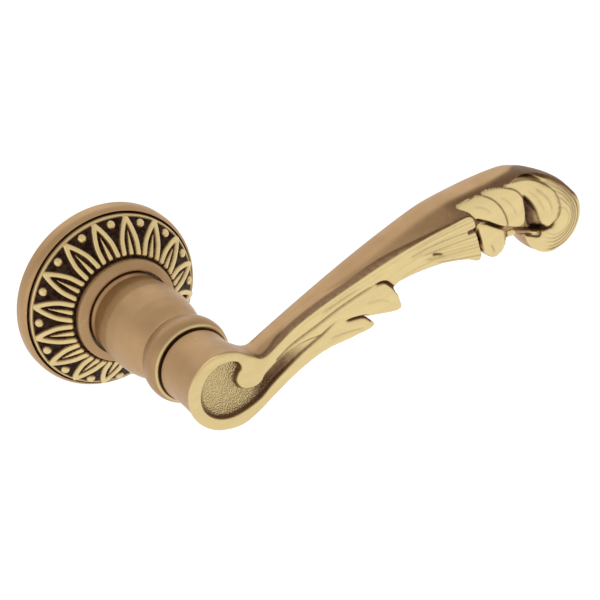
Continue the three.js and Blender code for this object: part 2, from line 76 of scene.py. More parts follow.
def direction(azimuth, elevation):
    """Unit vector from the handle towards a viewer or lamp, at angles in degrees."""
    a, e = math.radians(azimuth), math.radians(elevation)
    return Vector((math.sin(a) * math.cos(e), -math.cos(a) * math.cos(e), math.sin(e)))


def make_camera():
    data = bpy.data.cameras.new("camera")
    data.lens = CAMERA_LENS
    data.sensor_width = 36.0
    data.clip_start = 0.01
    data.clip_end = 20.0
    camera = bpy.data.objects.new("camera", data)
    bpy.context.collection.objects.link(camera)
    back = direction(CAMERA_AZIMUTH, CAMERA_ELEVATION)
    right = Vector((0, 0, 1)).cross(back).normalized()
    up = back.cross(right)
    turn = Matrix((right, up, back)).transposed().to_4x4()
    roll = Matrix.Rotation(math.radians(CAMERA_ROLL), 4, "Z")
    camera.matrix_world = Matrix.Translation(CAMERA_TARGET + back * CAMERA_DISTANCE) @ turn @ roll
    bpy.context.scene.camera = camera


def area_light(name, azimuth, elevation, power):
    """A large soft light that faces the handle."""
    data = bpy.data.lights.new(name, "AREA")
    data.shape = "RECTANGLE"
    data.size, data.size_y = LIGHT_SIZE
    data.energy = power
    lamp = bpy.data.objects.new(name, data)
    bpy.context.collection.objects.link(lamp)
    back = direction(azimuth, elevation)
    lamp.location = Vector((0.03, -0.03, 0)) + back * LIGHT_DISTANCE
    lamp.rotation_mode = "QUATERNION"
    lamp.rotation_quaternion = back.to_track_quat("Z", "Y")


def make_studio():
    """Pale surroundings, a little darker overhead, with two soft lights and a floor."""
    bpy.context.scene.view_settings.view_transform = "Standard"
    world = bpy.data.worlds.new("studio")
    world.use_nodes = True
    tree = world.node_tree
    background = tree.nodes["Background"]
    place = tree.nodes.new("ShaderNodeTexCoord")
    split = tree.nodes.new("ShaderNodeSeparateXYZ")
    height = tree.nodes.new("ShaderNodeMapRange")
    height.interpolation_type = "SMOOTHSTEP"
    height.inputs["From Min"].default_value = WALL_TOP
    height.inputs["From Max"].default_value = CEILING_FROM
    height.inputs["To Min"].default_value = WALL_LIGHT
    height.inputs["To Max"].default_value = CEILING_LIGHT
    tree.links.new(place.outputs["Generated"], split.inputs["Vector"])
    tree.links.new(split.outputs["Z"], height.inputs["Value"])
    tree.links.new(height.outputs["Result"], background.inputs["Strength"])
    background.inputs["Color"].default_value = WORLD_COLOUR
    bpy.context.scene.world = world
    area_light("side", -75, 20, SIDE_LIGHT_POWER)
    area_light("back", 165, 35, BACK_LIGHT_POWER)
    lay_floor()


def lay_floor():
    """A wide pale floor well below the handle, faintly lit by itself."""
    corners = [(-1, -1), (1, -1), (1, 1), (-1, 1)]
    verts = [(x * FLOOR_HALF, y * FLOOR_HALF, FLOOR_LEVEL) for x, y in corners]
    mesh = bpy.data.meshes.new("floor")
    mesh.from_pydata(verts, [], [(0, 1, 2, 3)])
    floor = bpy.data.objects.new("floor", mesh)
    bpy.context.collection.objects.link(floor)
    pale = bpy.data.materials.new("floor_pale")
    pale.use_nodes = True
    shader = pale.node_tree.nodes["Principled BSDF"]
    shader.inputs["Base Color"].default_value = (0.93, 0.93, 0.93, 1)
    shader.inputs["Roughness"].default_value = 0.9
    shader.inputs["Emission Color"].default_value = (1, 1, 1, 1)
    shader.inputs["Emission Strength"].default_value = FLOOR_GLOW
    mesh.materials.append(pale)


# ---- node helpers ----------------------------------------------------------------------------
class Nodes:
    """Short names for building one material's node tree."""

    def __init__(self, name):
        self.material = bpy.data.materials.new(name)
        self.material.use_nodes = True
        self.tree = self.material.node_tree
        self.shader = self.tree.nodes["Principled BSDF"]

    def node(self, kind, **settings):
        made = self.tree.nodes.new(kind)
        for key, value in settings.items():
            setattr(made, key, value)
        return made

    def link(self, source, target):
        self.tree.links.new(source, target)

    def set(self, socket, value):
        if hasattr(value, "links"):
            self.link(value, socket)
        else:
            socket.default_value = value

    def mask(self, name):
        return self.node("ShaderNodeAttribute", attribute_name=name).outputs["Fac"]

    def noise(self, scale, detail=4.0, roughness=0.55, stretch=(1, 1, 1)):
        place = self.node("ShaderNodeTexCoord").outputs["Object"]
        mapping = self.node("ShaderNodeMapping")
        mapping.inputs["Scale"].default_value = stretch
        self.link(place, mapping.inputs["Vector"])
        noise = self.node("ShaderNodeTexNoise")
        noise.inputs["Scale"].default_value = scale
        noise.inputs["Detail"].default_value = detail
        noise.inputs["Roughness"].default_value = roughness
        self.link(mapping.outputs["Vector"], noise.inputs["Vector"])
        return noise.outputs["Fac"]

    def remap(self, value, low, high, to_low=0.0, to_high=1.0):
        made = self.node("ShaderNodeMapRange", interpolation_type="SMOOTHSTEP")
        self.set(made.inputs["Value"], value)
        made.inputs["From Min"].default_value = low
        made.inputs["From Max"].default_value = high
        made.inputs["To Min"].default_value = to_low
        made.inputs["To Max"].default_value = to_high
        return made.outputs["Result"]

    def math(self, operation, a, b):
        made = self.node("ShaderNodeMath", operation=operation)
        self.set(made.inputs[0], a)
        self.set(made.inputs[1], b)
        return made.outputs[0]

    def mix(self, factor, a, b):
        made = self.node("ShaderNodeMix", data_type="RGBA")
        self.set(made.inputs["Factor"], factor)
        self.set(made.inputs["A"], a)
        self.set(made.inputs["B"], b)
        return made.outputs["Result"]

    def mix_value(self, factor, a, b):
        made = self.node("ShaderNodeMix", data_type="FLOAT")
        self.set(made.inputs["Factor"], factor)
        self.set(made.inputs["A"], a)
        self.set(made.inputs["B"], b)
        return made.outputs["Result"]

    def bump(self, height, strength, distance):
        made = self.node("ShaderNodeBump")
        made.inputs["Strength"].default_value = strength
        made.inputs["Distance"].default_value = distance
        self.link(height, made.inputs["Height"])
        self.link(made.outputs["Normal"], self.shader.inputs["Normal"])

    def finish(self, colour, roughness, metallic=1.0):
        self.set(self.shader.inputs["Base Color"], colour)
        self.set(self.shader.inputs["Roughness"], roughness)
        self.shader.inputs["Metallic"].default_value = metallic
        return self.material


# ---- brass, steel and nylon ------------------------------------------------------------------
SATIN = (0.465, 0.298, 0.152, 1)
SATIN_WARM = (0.415, 0.26, 0.13, 1)
POLISHED = (0.765, 0.615, 0.306, 1)
# patina colours, from nearly black to brown, also used for painted shade
BLACK_PATINA_AND_SHADE = (0.012, 0.005, 0.005, 1)
DUSKY_PATINA_AND_SHADE = (0.027, 0.013, 0.01, 1)
BROWN_PATINA_AND_SHADE = (0.205, 0.118, 0.063, 1)


def antique_brass(name, grain=(1, 1, 1)):
    """Satin antique brass, coloured by the masks polish, patina with painted shade, gloss and
    stipple.
    """
    n = Nodes(name)
    # cloudy satin ground with worn edges
    cloud = n.remap(n.noise(60, 5), 0.35, 0.7)
    base = n.mix(cloud, SATIN, SATIN_WARM)
    wear = n.remap(n.node("ShaderNodeNewGeometry").outputs["Pointiness"], 0.52, 0.60)
    worn = n.mix(n.math("MULTIPLY", wear, 0.25), base, POLISHED)
    # polished high places, faintly streaked
    polish = n.mask("polish")
    streak = n.remap(n.noise(420, 3, 0.6, (0.25, 1, 1)), 0.3, 0.75, 0.86, 1.0)
    bright = n.mix(n.math("MULTIPLY", polish, streak), worn, POLISHED)
    # patina and painted shade from one mask: brown where it is thin and nearly black where it is deep
    speckle = n.remap(n.noise(900, 3), 0.35, 0.7, 0.85, 1.0)
    dark_patina_and_shade = n.math("MULTIPLY", n.mask("dark_patina_and_shade"), speckle)
    dark = n.mix(n.noise(300, 3), BLACK_PATINA_AND_SHADE, DUSKY_PATINA_AND_SHADE)
    brown = n.mix(n.remap(dark_patina_and_shade, 0.0, 0.55), bright, BROWN_PATINA_AND_SHADE)
    colour = n.mix(n.remap(dark_patina_and_shade, 0.45, 1.0), brown, dark)
    rough = n.mix_value(polish, n.remap(n.noise(160, 4), 0.3, 0.7, 0.36, 0.46), 0.34)
    rough = n.mix_value(n.mask("gloss"), n.mix_value(dark_patina_and_shade, rough, 0.62), 0.28)
    # punched grain in the volute, and a fine grain everywhere
    dimples = n.node("ShaderNodeTexVoronoi", feature="F1")
    dimples.inputs["Scale"].default_value = 2100
    n.link(n.node("ShaderNodeTexCoord").outputs["Object"], dimples.inputs["Vector"])
    pit = n.remap(dimples.outputs["Distance"], 0.15, 0.75)
    punched = n.math("MULTIPLY", n.mask("stipple"), pit)
    colour = n.mix(n.math("MULTIPLY", punched, 0.24), colour, DUSKY_PATINA_AND_SHADE)
    fine = n.math("MULTIPLY", n.noise(2400, 2, 0.5, grain), 0.08)
    n.bump(n.math("ADD", n.math("MULTIPLY", punched, -1.0), fine), 0.6, 0.0003)
    return n.finish(colour, rough)


def plated_steel(name, colour, roughness, scale, grain=(1, 1, 1)):
    """Grey metal with cloudy shade and brighter worn edges."""
    n = Nodes(name)
    shade = n.remap(n.noise(scale, 4), 0.3, 0.7)
    darker = tuple(c * 0.72 for c in colour[:3]) + (1,)
    edge = n.remap(n.node("ShaderNodeNewGeometry").outputs["Pointiness"], 0.52, 0.62)
    lighter = tuple(min(1, c * 1.3) for c in colour[:3]) + (1,)
    tone = n.mix(edge, n.mix(shade, colour, darker), lighter)
    rough = n.remap(n.noise(scale * 3, 4), 0.3, 0.7, roughness - 0.08, roughness + 0.08)
    n.bump(n.noise(scale * 6, 3, 0.6, grain), 0.15, 0.0001)
    return n.finish(tone, rough)


def moulded_nylon(name):
    """Off-white plastic with a faint moulded grain."""
    n = Nodes(name)
    tone = n.mix(n.remap(n.noise(140, 4), 0.3, 0.7), (0.78, 0.75, 0.67, 1), (0.70, 0.67, 0.58, 1))
    rough = n.remap(n.noise(500, 3), 0.3, 0.7, 0.45, 0.6)
    n.bump(n.noise(1800, 2), 0.2, 0.00005)
    return n.finish(tone, rough, 0.0)


# ---- mesh helpers ------------------------------------------------------------------------------
def mesh_object(name, points, quads, masks, material):
    """Mesh from (x, u, z) points in millimetres, quads and per-vertex masks."""
    row = np.stack([points[:, 0], -points[:, 1], points[:, 2]], 1) * MM
    mesh = bpy.data.meshes.new(name)
    mesh.vertices.add(len(row))
    mesh.vertices.foreach_set("co", row.astype(np.float32).ravel())
    mesh.loops.add(quads.size)
    mesh.loops.foreach_set("vertex_index", quads.astype(np.int32).ravel())
    mesh.polygons.add(len(quads))
    mesh.polygons.foreach_set("loop_start", np.arange(0, quads.size, 4, dtype=np.int32))
    mesh.polygons.foreach_set("use_smooth", np.ones(len(quads), bool))
    mesh.update(calc_edges=True)
    mesh.validate()
    for key, values in masks.items():
        layer = mesh.attributes.new(key, "FLOAT", "POINT")
        layer.data.foreach_set("value", np.clip(values, 0, 1).astype(np.float32))
    mesh.materials.append(material)
    made = bpy.data.objects.new(name, mesh)
    bpy.context.collection.objects.link(made)
    return made


def smoothstep(low, high, value):
    """Nothing at low, one at high, and smooth between them; low may be above high."""
    t = np.clip((value - low) / (high - low), 0, 1)
    return t * t * (3 - 2 * t)


def fine_profile(points, spacing, corner):
    """Resamples a profile evenly and rounds its corners with a short moving average."""
    points = np.array(points, float)
    lengths = np.r_[0, np.cumsum(np.hypot(*np.diff(points, axis=0).T))]
    count = max(2, int(lengths[-1] / spacing))
    at = np.linspace(0, lengths[-1], count + 1)
    even = np.stack([np.interp(at, lengths, points[:, k]) for k in (0, 1)], 1)
    reach = max(1, int(corner / spacing))
    kernel = np.hanning(2 * reach + 3)[1:-1]
    kernel /= kernel.sum()
    padded = np.r_[np.repeat(even[:1], reach, 0), even, np.repeat(even[-1:], reach, 0)]
    smooth = np.stack([np.convolve(padded[:, k], kernel, "valid") for k in (0, 1)], 1)
    smooth[0], smooth[-1] = even[0], even[-1]
    return smooth


def revolve_quads(rings, around, closed):
    """Quads of a grid of rings; closed joins the last ring to the first."""
    i, j = np.meshgrid(np.arange(rings if closed else rings - 1), np.arange(around), indexing="ij")
    i2, j2 = (i + 1) % rings, (j + 1) % around
    corners = [i * around + j, i * around + j2, i2 * around + j2, i2 * around + j]
    return np.stack(corners, -1).reshape(-1, 4)


# ---- rose cover --------------------------------------------------------------------------------
# profiles as radius and height u, from the door side round the front to the bore and back
COVER_RIM = [
    [23.7, 0], [24.8, 0], [25, 0.25], [25, 2.2], [24.9, 3.0], [24.6, 3.75], [24.2, 4.25],
    [23.95, 4.25], [23.85, 3.5], [23.6, 3.5], [23.5, 4.5], [23.35, 5.2], [23.1, 5.45], [22.95, 5.2]]
COVER_BOSS = [
    [14.35, 11.3], [14.15, 11.3], [14.05, 12.0], [14.0, 12.9], [13.8, 13.3], [13.2, 13.75],
    [12.3, 14.3], [11.8, 14.5], [11.55, 14.4], [11.45, 14.0], [11.45, 13.3]]
COVER_CORNER = 0.25
COVER_INSIDE = [[12.6, 13.3], [12.9, 10.9], [17.4, 7.65], [21.9, 4.4], [23.7, 2.6]]
FIELD_INNER = np.array([14.4, 11.3])
FIELD_OUTER = np.array([22.9, 5.4])
LEAF_COUNT = 16
LEAF_PHASE = -2.2
LEAF_TIP = 10.0
LEAF_HALF = 2.0
RIB_HALF = 0.74
RIB_HEIGHT = 0.9
# along the field from its inner edge: where the leaves begin, where they start to narrow, the
# spike inside each leaf (the length it tapers over, and its end), and the middle of the dots
LEAF_ROOT = 0.7
LEAF_SHOULDER = 3.4
SPIKE_TAPER = 5.6
SPIKE_TIP = 6.6
DOT_PLACE = 8.75
DOT_RADIUS = 1.2


def leaf_relief(across, along):
    """Height in mm of the carved leaf at a place across and along the sloping field."""
    s = np.linspace(LEAF_ROOT, LEAF_TIP, 90)
    bend = np.clip((s - LEAF_SHOULDER) / (LEAF_TIP - LEAF_SHOULDER), 0, 1)
    half = LEAF_HALF + 0.1 * np.sin(np.pi * np.clip(s / 6, 0, 1)) - LEAF_HALF * bend ** 1.85
    curve = np.stack([np.abs(half), s], 1)
    side = np.stack([np.abs(across).ravel(), along.ravel()], 1)
    away = np.sqrt(((side[:, None, :] - curve[None, :, :]) ** 2).sum(-1))
    away = away.min(1).reshape(across.shape)
    rib = np.sqrt(np.clip(1 - (away / RIB_HALF) ** 3, 0, 1))
    t = np.clip((along - LEAF_ROOT) / SPIKE_TAPER, 0, 1)
    width = 0.6 * (1 - t ** 1.5) + 0.1
    end = np.where(along < LEAF_ROOT, np.hypot(across, along - LEAF_ROOT), np.abs(across))
    spike = np.sqrt(np.clip(1 - (end / width) ** 2, 0, 1)) * (along < SPIKE_TIP)
    return np.maximum(rib, spike * (1 - 0.4 * t)) * RIB_HEIGHT


def dot_relief(across, along):
    """Height in mm of the round dot between two leaf tips."""
    away = np.hypot(across, along - DOT_PLACE)
    return np.sqrt(np.clip(1 - (away / DOT_RADIUS) ** 2, 0, 1))


def rose_cover(material):
    """Pressed and chased cover: smooth rim, groove, leaf field with dots, and boss."""
    around = LEAF_COUNT * 48
    spacing = 0.12
    outer = fine_profile(COVER_RIM, spacing, COVER_CORNER)
    length = np.linalg.norm(FIELD_INNER - FIELD_OUTER)
    share = np.linspace(0, 1, int(length / spacing))[1:, None]
    field = FIELD_OUTER + (FIELD_INNER - FIELD_OUTER) * share
    boss = fine_profile(COVER_BOSS, spacing, COVER_CORNER)
    profile = np.r_[outer, field, boss, np.array(COVER_INSIDE)]
    first, last = len(outer), len(outer) + len(field)

    angle = np.arange(around) / around * 2 * np.pi
    radius = np.repeat(profile[:, :1], around, 1)
    height = np.repeat(profile[:, 1:], around, 1)
    pitch = 2 * np.pi / LEAF_COUNT
    off = (angle - math.radians(LEAF_PHASE) + pitch / 2) % pitch - pitch / 2
    off_dot = (off + pitch) % pitch - pitch / 2
    along = np.repeat((1 - share) * length, around, 1)
    base = radius[first:last]
    relief = np.maximum(leaf_relief(off * base, along), dot_relief(off_dot * base, along))
    slope = (FIELD_OUTER - FIELD_INNER) / length
    radius[first:last] += relief * -slope[1]
    height[first:last] += relief * slope[0]

    points = np.stack([radius * np.cos(angle), height, radius * np.sin(angle)], -1).reshape(-1, 3)
    dark_patina_and_shade = np.zeros_like(radius)
    dark_patina_and_shade[first:last] = 1 - smoothstep(0.08, 0.38, relief)
    r, u = profile[:, 0], profile[:, 1]
    in_rim = np.arange(len(r)) < first
    in_boss = np.arange(len(r)) >= last
    groove = smoothstep(4.35, 3.9, u) * (r > 23.45) * (r < 24.0) * in_rim
    inner_groove = smoothstep(12.4, 11.5, u) * in_boss * (r > 13.6)
    lip = smoothstep(14.2, 13.9, u) * (r < 12)
    # painted shade of the neck on the top of the boss
    boss_shade = 0.15 * in_boss * (u > 12.4)
    ring = np.maximum.reduce([groove, inner_groove, lip, boss_shade])
    dark_patina_and_shade = np.maximum(dark_patina_and_shade, ring[:, None])
    polish = np.zeros_like(radius)
    polish[first:last] = smoothstep(0.2, 0.6, relief)
    rim_edge = 0.8 * smoothstep(4.5, 5.2, u) * in_rim
    polish = np.maximum(polish, rim_edge[:, None])
    masks = {"dark_patina_and_shade": dark_patina_and_shade.ravel(), "polish": polish.ravel() * 0.85}
    quads = revolve_quads(len(profile), around, True)
    piece = mesh_object("rose_cover_carved", points, quads, masks, material)
    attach(piece, "rose")
    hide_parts("rose_cover")


# ---- neck --------------------------------------------------------------------------------------
# profiles as radius and height u: shank, foot, bead and end face, then back down the bore
NECK_OUTSIDE = [
    [8.8, 5.8], [8.8, 11.2], [10.75, 11.2], [10.75, 13.2], [11.2, 13.7], [11.25, 14.3], [10.95, 15.2],
    [10.8, 16.0], [11.0, 17.6], [11.5, 20.2], [11.7, 23.5], [11.6, 27], [11.1, 30.6], [10.3, 33.6],
    [9.3, 36.0], [8.85, 37.5], [8.95, 38.5], [9.9, 39.1], [10.75, 40.6], [11.2, 42.6], [11.25, 44.2],
    [10.95, 45.5], [10.45, 46.3], [10.2, 46.75], [9.75, 46.8], [9.2, 46.6], [5.9, 46.6], [5.9, 43.6],
    [2.75, 43.6]]
NECK_INSIDE = [
    [2.75, 38.6], [4.15, 38.6], [4.15, 33.6], [5.0, 33.3], [5.9, 33.0], [5.9, 0.6], [7.0, 0.5],
    [7.0, 4.0], [7.8, 4.0], [7.8, 5.8]]
NECK_SPACING = 0.22
NECK_CORNER = 0.55


def neck(material):
    """Turned neck with its bead, and the shank that runs in the rose."""
    around = 256
    outside = fine_profile(NECK_OUTSIDE, NECK_SPACING, NECK_CORNER)
    profile = np.r_[outside, np.array(NECK_INSIDE)]
    angle = np.arange(around) / around * 2 * np.pi
    radius = np.repeat(profile[:, :1], around, 1)
    height = np.repeat(profile[:, 1:], around, 1)
    points = np.stack([radius * np.cos(angle), height, radius * np.sin(angle)], -1).reshape(-1, 3)
    r, u = profile[:, 0], profile[:, 1]
    foot = smoothstep(14.2, 13.9, u)
    # painted shade: the bead is darkened a little
    bead = 0.17 * smoothstep(37.5, 39.5, u)
    face = smoothstep(46.2, 46.6, u)
    # painted shade in the gap where the neck's end face meets the drum
    seam = 0.6 * face * smoothstep(9.9, 9.6, r)
    dark = np.maximum.reduce([foot, bead, seam])
    lip = face * smoothstep(9.7, 9.95, r)
    masks = {"dark_patina_and_shade": dark, "polish": lip, "gloss": smoothstep(17.5, 14.6, u)}
    masks = {key: np.repeat(values, around) for key, values in masks.items()}
    quads = revolve_quads(len(profile), around, True)
    piece = mesh_object("lever_neck_turned", points, quads, masks, material)
    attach(piece, "lever")
    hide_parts("lever_neck")


# ---- lever arm: a carved front on a smooth bar, built as a distance field ------------------------
FRONT = 62.0
# the bar's section is a rounded form with one power towards its front and one towards its back
SECTION_FRONT = 4.0
SECTION_BACK = 2.38
# x, middle height z, half height and depth of the bar
STATIONS = np.array([
    [-2, -1.6, 4.0, 8.5], [3, -1.6, 5.6, 8.5], [10, -2.0, 5.6, 8.8], [18, -0.4, 5.7, 9.4],
    [28, 1.5, 5.8, 10.4], [38, 3.4, 5.7, 11.4], [48, 5.2, 5.4, 12.4], [58, 6.5, 5.7, 13.0],
    [68, 7.0, 6.8, 13.2], [77, 6.5, 7.4, 13.2], [85, 5.3, 8.3, 13.0], [91, 3.8, 9.0, 12.8],
    [96, 1.0, 9.4, 12.6], [100.5, -2.0, 8.4, 12.2], [104.0, -3.8, 5.4, 11.6],
    [106.5, -4.3, 1.6, 10.0], [108, -4.3, 0.5, 9.0]])
BAR_START = -1
BAR_END = 105.6
ARM_BACK = 43.2
ARM_TOP = 65.5
# radius of the drum at u, a little waisted, with a rounded shoulder at the seam
DRUM_U = [43, 47.1, 47.5, 51.5, 56, 60.2, 61.8, 62.2, 66]
DRUM_RADIUS = [5.6, 9.1, 9.4, 9.2, 9.3, 9.6, 9.75, 9.6, 9.0]
DRUM_BACK = 47.1
TENON_RADIUS = 5.6
TENON_BACK = 44.0
# radius, and the height u where the hole ends
SCREW_HOLE = (2.75, 56.8)
DOWEL_HOLE = (1.2, 51.8)
DOWEL_X = -7.6
DRUM_FILLET = 4.0
SCROLL_FILLET = 1.8


def spline(points, closed, per_span=12):
    """Smooth curve through the points (Catmull-Rom)."""
    p = np.array(points, float)
    if closed:
        p = np.r_[p[-1:], p, p[:2]]
    else:
        p = np.r_[2 * p[:1] - p[1:2], p, 2 * p[-1:] - p[-2:-1]]
    t = np.linspace(0, 1, per_span, endpoint=False)[:, None]
    out = []
    for a, b, c, d in zip(p, p[1:], p[2:], p[3:]):
        square = (2 * a - 5 * b + 4 * c - d) * t ** 2
        cube = (3 * b - 3 * c + d - a) * t ** 3
        out.append(0.5 * (2 * b + (c - a) * t + square + cube))
    out = np.concatenate(out)
    return out if closed else np.r_[out, p[-2:-1]]


def sample(values, x, column):
    """One column of a table, read at x along a smooth curve through its rows."""
    curve = spline(values[:, [0, column]], False, 10)
    return np.interp(x, curve[:, 0], curve[:, 1])


def arm_section(x):
    """Middle height, half height, half depth and centre u of the smooth bar at x."""
    middle = sample(STATIONS, x, 1)
    half = np.maximum(sample(STATIONS, x, 2), 0.25)
    depth = np.maximum(sample(STATIONS, x, 3), 1.0) / 2
    return middle, half, depth, FRONT - 0.4 - depth


class Sheet:
    """The front view as a fine grid of places (x, z) on which the carving is drawn."""

    def __init__(self, step):
        self.step = step
        self.x = np.arange(-12.5, 111, step)
        self.z = np.arange(-15, 17.5, step)
        self.X, self.Z = np.meshgrid(self.x, self.z, indexing="ij")

    def to_line(self, points):
        """Distance to a polyline, and how far along it (0 to 1) the nearest point lies."""
        p = np.array(points, float)
        seg = np.linalg.norm(np.diff(p, axis=0), axis=1)
        run = np.r_[0, np.cumsum(seg)]
        best = np.full(self.X.shape, 1e9)
        share = np.zeros(self.X.shape)
        for k in range(len(p) - 1):
            a, b = p[k], p[k + 1]
            d = b - a
            t = np.clip(((self.X - a[0]) * d[0] + (self.Z - a[1]) * d[1]) / max(d @ d, 1e-9), 0, 1)
            away = np.hypot(self.X - a[0] - t * d[0], self.Z - a[1] - t * d[1])
            near = away < best
            best = np.where(near, away, best)
            share = np.where(near, (run[k] + t * seg[k]) / run[-1], share)
        return best, share

    def inside(self, points):
        """True where a place lies inside a closed polyline."""
        p = np.array(points, float)
        count = np.zeros(self.X.shape, bool)
        for a, b in zip(p, np.roll(p, -1, 0)):
            crosses = (a[1] > self.Z) != (b[1] > self.Z)
            if a[1] == b[1]:
                continue
            at = a[0] + (self.Z - a[1]) / (b[1] - a[1]) * (b[0] - a[0])
            count ^= crosses & (self.X < at)
        return count

    def shape(self, points, per_span=8):
        """Signed distance to a smooth closed outline, negative inside."""
        outline = spline(points, True, per_span)
        away, _ = self.to_line(np.r_[outline, outline[:1]])
        return np.where(self.inside(outline), -away, away)

    def read(self, values, points):
        """Values on the sheet in front of 3-D points, mixed from the four nearest places."""
        i = np.clip((points[:, 0] - self.x[0]) / self.step, 0, len(self.x) - 2)
        k = np.clip((points[:, 2] - self.z[0]) / self.step, 0, len(self.z) - 2)
        i0, k0 = i.astype(int), k.astype(int)
        i1, k1 = i0 + 1, k0 + 1
        right, over = i - i0, k - k0
        left, under = 1 - right, 1 - over
        lower = values[i0, k0] * left * under + values[i1, k0] * right * under
        return lower + values[i0, k1] * left * over + values[i1, k1] * right * over


def blurred(values, reach):
    """Values on the sheet averaged over a small round neighbourhood, reach cells each way."""
    kernel = np.hanning(2 * reach + 3)[1:-1]
    kernel /= kernel.sum()
    for axis in (0, 1):
        pad = [(reach, reach) if k == axis else (0, 0) for k in (0, 1)]
        wide = np.pad(values, pad, mode="edge")
        values = sum(w * np.roll(wide, reach - k, axis) for k, w in enumerate(kernel))
        cut = [slice(reach, -reach) if k == axis else slice(None) for k in (0, 1)]
        values = values[tuple(cut)]
    return values


def spread(values, known, rounds):
    """Carries the known values outwards over the unknown cells round them."""
    values = np.where(known, values, 0.0)
    known = known.astype(float)
    for _ in range(rounds):
        total = sum(np.roll(values * known, (i, k), (0, 1)) for i in (-1, 0, 1) for k in (-1, 0, 1))
        share = sum(np.roll(known, (i, k), (0, 1)) for i in (-1, 0, 1) for k in (-1, 0, 1))
        fresh = (known < 0.5) & (share > 0.5)
        values = np.where(fresh, total / np.maximum(share, 1), values)
        known = np.where(fresh, 1.0, known)
    return values


# outlines of the carving as x and z
STRIP = [
    [0, 9.6], [-4.4, 8.6], [-8.4, 4.9], [-9.8, 0], [-8.7, -5.2], [-4.8, -9.6], [1, -11.8],
    [6, -11.2], [12, -8.9], [20, -6.1], [28, -4.6], [36, -5.1], [42.5, -5.1], [41.9, -2.8],
    [40.6, -1.3], [44, -2.5], [50.6, -4.6], [51.3, -2], [50.9, 2.2], [54, 2.7], [60, 2.1],
    [66, 0.8], [72, -1.5], [76, -3.8], [77.1, -1.0], [77, 4], [76, 9.3], [70, 10.1], [60, 10.4],
    [50, 10.0], [40, 9.0], [30, 7.8], [22, 6.2], [17, 4.4], [12.4, 2.8], [9.6, 4.0], [5.2, 7.6]]
VOLUTE = [
    [0.4, 7.1], [-4, 5.4], [-6.6, 1.2], [-6.3, -3.4], [-3.2, -7.0], [1.6, -8.4], [7.8, -7.6],
    [12, -5.6], [16, -4.0], [22, -1.8], [28.5, 0.2], [22, 1.2], [16, 0.3], [11.2, -1.6],
    [9.6, -3.0], [7.2, -3.3], [4.4, -2.0], [3.4, 0.6], [4.6, 2.6], [5.6, 3.4], [4.6, 5.8]]
VOLUTE_DEPTH = 1.3
VOLUTE_EYE = (7.5, -0.1)
BALL = [
    [77.2, -0.6], [78.8, -4.2], [81.4, -5.8], [84.3, -4.4], [85.4, -0.6], [84.2, 2], [80.4, 5.0],
    [77.6, 5.6]]
LOBE_1 = [
    [73.4, 12.9], [77.6, 13.0], [81.0, 12.4], [84, 9.3], [85.7, 4.6], [85.4, 1.2], [81.4, 4.3],
    [77.6, 7.5], [75.6, 10.6]]
LOBE_2 = [
    [81.4, 12.8], [86.2, 12.0], [90.2, 9.6], [91.9, 6.0], [91.7, 1.8], [90.2, -0.7], [86.6, 0.7],
    [84.6, 4], [82, 9.6]]
LOBE_3 = [
    [87.6, 11.7], [93.4, 10.6], [98.2, 7.6], [101.3, 3.6], [101.6, -2], [98.4, -4.9], [95.9, -3.3],
    [94.6, 2], [90.4, 7.6]]
RIBBON = [
    [84, -0.4], [88, -1.0], [92, -3.0], [95, -4.8], [94.6, -6.4], [92, -5.0], [88, -2.9], [85, -2.0]]
HOLLOW = [
    [92.0, 7.4], [94.2, 4.4], [95.8, 0.4], [96.6, -3.4], [94.6, -4.9], [92.6, -3.2], [91.8, -0.6],
    [91.6, 2.4]]
WRAP = [
    [88, 11.0], [92.6, 11.9], [96.9, 10.5], [100.0, 8.7], [103.3, 6.0], [105.9, 3.1], [107.6, -0.2],
    [108.5, -3.2], [106, -5.5], [101, -5], [97.5, 0], [95.5, 4], [91, 8.6]]
# from the bottom up: outline, height over the front, rise, reach of the rise, tilt and crease
RAISED_FORMS = [
    (HOLLOW, -0.6, 0.0, 1.0, 0, 1.0),
    (RIBBON, -0.9, 0.7, 0.5, 0, 1.0),
    (BALL, -0.9, 1.6, 1.4, 0.02, 1.0),
    (LOBE_3, 0.1, 0.8, 0.6, 0.05, 0.6),
    (LOBE_2, 0.0, 0.8, 0.6, 0.08, 0.8),
    (LOBE_1, -0.1, 0.8, 0.6, 0.08, 0.8),
]
LOBE_RELIEF = 0.55
LOBES_FROM = 70
SCROLL_FROM = 88
SCROLL_CENTRE = (99.9, -4.3)
SCROLL_RADIUS = 8.9
# inset from the scroll's edge, and depth
SCROLL_RINGS = ((5.0, 0.2), (3.9, 0.28), (3.0, 0.34), (2.05, 0.38), (1.05, 0.45))

